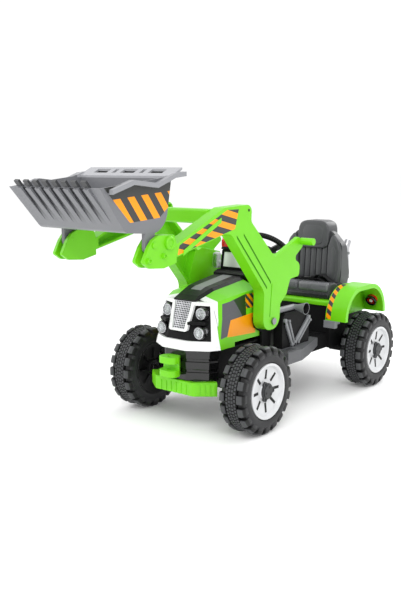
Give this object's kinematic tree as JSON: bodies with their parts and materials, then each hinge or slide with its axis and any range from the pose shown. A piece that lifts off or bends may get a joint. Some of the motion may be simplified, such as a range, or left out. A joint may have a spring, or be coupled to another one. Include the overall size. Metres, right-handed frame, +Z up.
{
  "type": "ride-on tractor toy",
  "caption": "Ride-on toy tractor with a lifting front loader and tipping bucket, steered front wheels, seat with belt, sprung pedal, drive lever and rear drive units.",
  "frame": {"origin": "on the ground under the middle of the plan box", "axes": "+Z up, -Y the way it drives, +X the driver's left"},
  "size_m": [0.54, 1.4154, 0.7866],
  "materials": {
    "tyre_black": "satin, moulded",
    "rim_white": "gloss",
    "cap_grey": "satin",
    "lime_green": "gloss, moulded in colour",
    "black_gloss": "gloss",
    "black_matte": "fine texture",
    "charcoal": "satin",
    "bucket_grey": "satin",
    "pale_grey": "satin",
    "fascia_white": "gloss",
    "silver": "metallised",
    "lamp_red": "clear red",
    "clear": "clear plastic",
    "webbing": "woven",
    "steel": "zinc plated",
    "black_steel": "black"
  },
  "bodies": {
    "chassis": {"front_axle_beam": "black_matte", "arm_posts": "black_matte", "pivot_bolts": "steel", "chassis_tub": "black_matte", "front_bumper": "black_gloss", "lower_guard": "lime_green", "tow_hitch": "lime_green", "bonnet_shell": "lime_green", "bonnet_strip": "black_gloss", "front_fascia": "fascia_white", "lamp_panel": "black_matte", "grille": "silver", "headlamps": "silver", "dash_cowl": "black_matte", "windscreen_frame": "black_matte", "windscreen_pane": "clear", "beacon": "lamp_red", "mirrors": "pale_grey", "engine_covers": "black_matte", "side_pipes": "pale_grey", "footrests": "charcoal", "seat_tray": "lime_green", "seat_base": "charcoal", "seat_back": "charcoal", "lap_belt": "webbing", "belt_buckle": "black_gloss", "mudguards": "lime_green", "tail_lamps": "lamp_red", "mudguard_stays": "pale_grey", "exhaust_stack": "silver", "battery": "charcoal", "drive_units": "charcoal", "rear_axle": "steel"},
    "loader": {"left_arm": "lime_green", "right_arm": "lime_green", "arm_cross_beam": "lime_green", "bucket_brackets": "lime_green", "bucket_pins": "steel"},
    "bucket": {"bucket": "bucket_grey"},
    "left_knuckle": {"left_knuckle": "black_steel"},
    "right_knuckle": {"right_knuckle": "black_steel"},
    "tie_rod": {"tie_rod": "black_steel"},
    "steering": {"steering_wheel": "black_matte", "steering_column": "steel"},
    "horn": {"horn_button": "pale_grey"},
    "pedal": {"accelerator_pedal": "charcoal"},
    "lever": {"drive_lever": "charcoal"},
    "front_left_wheel": {"front_left_tyre": "tyre_black", "front_left_rim": "rim_white", "front_left_hub_cap": "cap_grey"},
    "front_right_wheel": {"front_right_tyre": "tyre_black", "front_right_rim": "rim_white", "front_right_hub_cap": "cap_grey"},
    "rear_left_wheel": {"rear_left_tyre": "tyre_black", "rear_left_rim": "rim_white", "rear_left_hub_cap": "cap_grey"},
    "rear_right_wheel": {"rear_right_tyre": "tyre_black", "rear_right_rim": "rim_white", "rear_right_hub_cap": "cap_grey"}
  },
  "joints": [
    {"name": "loader_lift", "type": "hinge", "parent": "chassis", "child": "loader", "pos_m": [0, 0.03375, 0.31], "axis": [1, 0, 0], "range_deg": [0, 48]},
    {"name": "bucket_tip", "type": "hinge", "parent": "loader", "child": "bucket", "pos_m": [0, -0.51225, 0.59], "axis": [1, 0, 0], "range_deg": [0, 60]},
    {"name": "left_steer", "type": "hinge", "parent": "chassis", "child": "left_knuckle", "pos_m": [0.15, -0.12425, 0.134], "axis": [0, 0, 1], "range_deg": [-22, 22]},
    {"name": "right_steer", "type": "hinge", "parent": "chassis", "child": "right_knuckle", "pos_m": [-0.15, -0.12425, 0.134], "axis": [0, 0, 1], "range_deg": [-22.5, 22.5]},
    {"name": "tie_rod_slide", "type": "slide", "parent": "chassis", "child": "tie_rod", "axis": [1, 0, 0], "range_m": [-0.0185, 0.0185]},
    {"name": "steering_turn", "type": "hinge", "parent": "chassis", "child": "steering", "pos_m": [0, 0.25875, 0.5], "axis": [0, 0.7091, 0.7051], "range_deg": [-33, 33]},
    {"name": "horn_press", "type": "slide", "parent": "steering", "child": "horn", "axis": [0, -0.7091, -0.7051], "range_m": [0, 0.003], "stiffness_N_per_m": 400, "springref_m": -0.003},
    {"name": "pedal_press", "type": "hinge", "parent": "chassis", "child": "pedal", "pos_m": [-0.196, 0.13775, 0.216], "axis": [1, 0, 0], "range_deg": [0, 10], "stiffness_Nm_per_rad": 1, "springref_deg": -20.05},
    {"name": "drive_lever_rock", "type": "hinge", "parent": "chassis", "child": "lever", "pos_m": [-0.1, 0.20575, 0.2093], "axis": [1, 0, 0], "range_deg": [-14, 14]},
    {"name": "front_left_spin", "type": "hinge", "parent": "left_knuckle", "child": "front_left_wheel", "pos_m": [0.2245, -0.12425, 0.134], "axis": [1, 0, 0], "continuous": true},
    {"name": "rear_left_spin", "type": "hinge", "parent": "chassis", "child": "rear_left_wheel", "pos_m": [0.2245, 0.57375, 0.134], "axis": [1, 0, 0], "continuous": true},
    {"name": "front_right_spin", "type": "hinge", "parent": "right_knuckle", "child": "front_right_wheel", "pos_m": [-0.2245, -0.12425, 0.134], "axis": [1, 0, 0], "continuous": true},
    {"name": "rear_right_spin", "type": "hinge", "parent": "chassis", "child": "rear_right_wheel", "pos_m": [-0.2245, 0.57375, 0.134], "axis": [1, 0, 0], "continuous": true}
  ],
  "couplings": [
    {"joint": "right_steer", "follows": "left_steer", "ratio": 1},
    {"joint": "tie_rod_slide", "follows": "left_steer", "m_per_rad": -0.04688},
    {"joint": "steering_turn", "follows": "left_steer", "ratio": 1.4545}
  ]
}
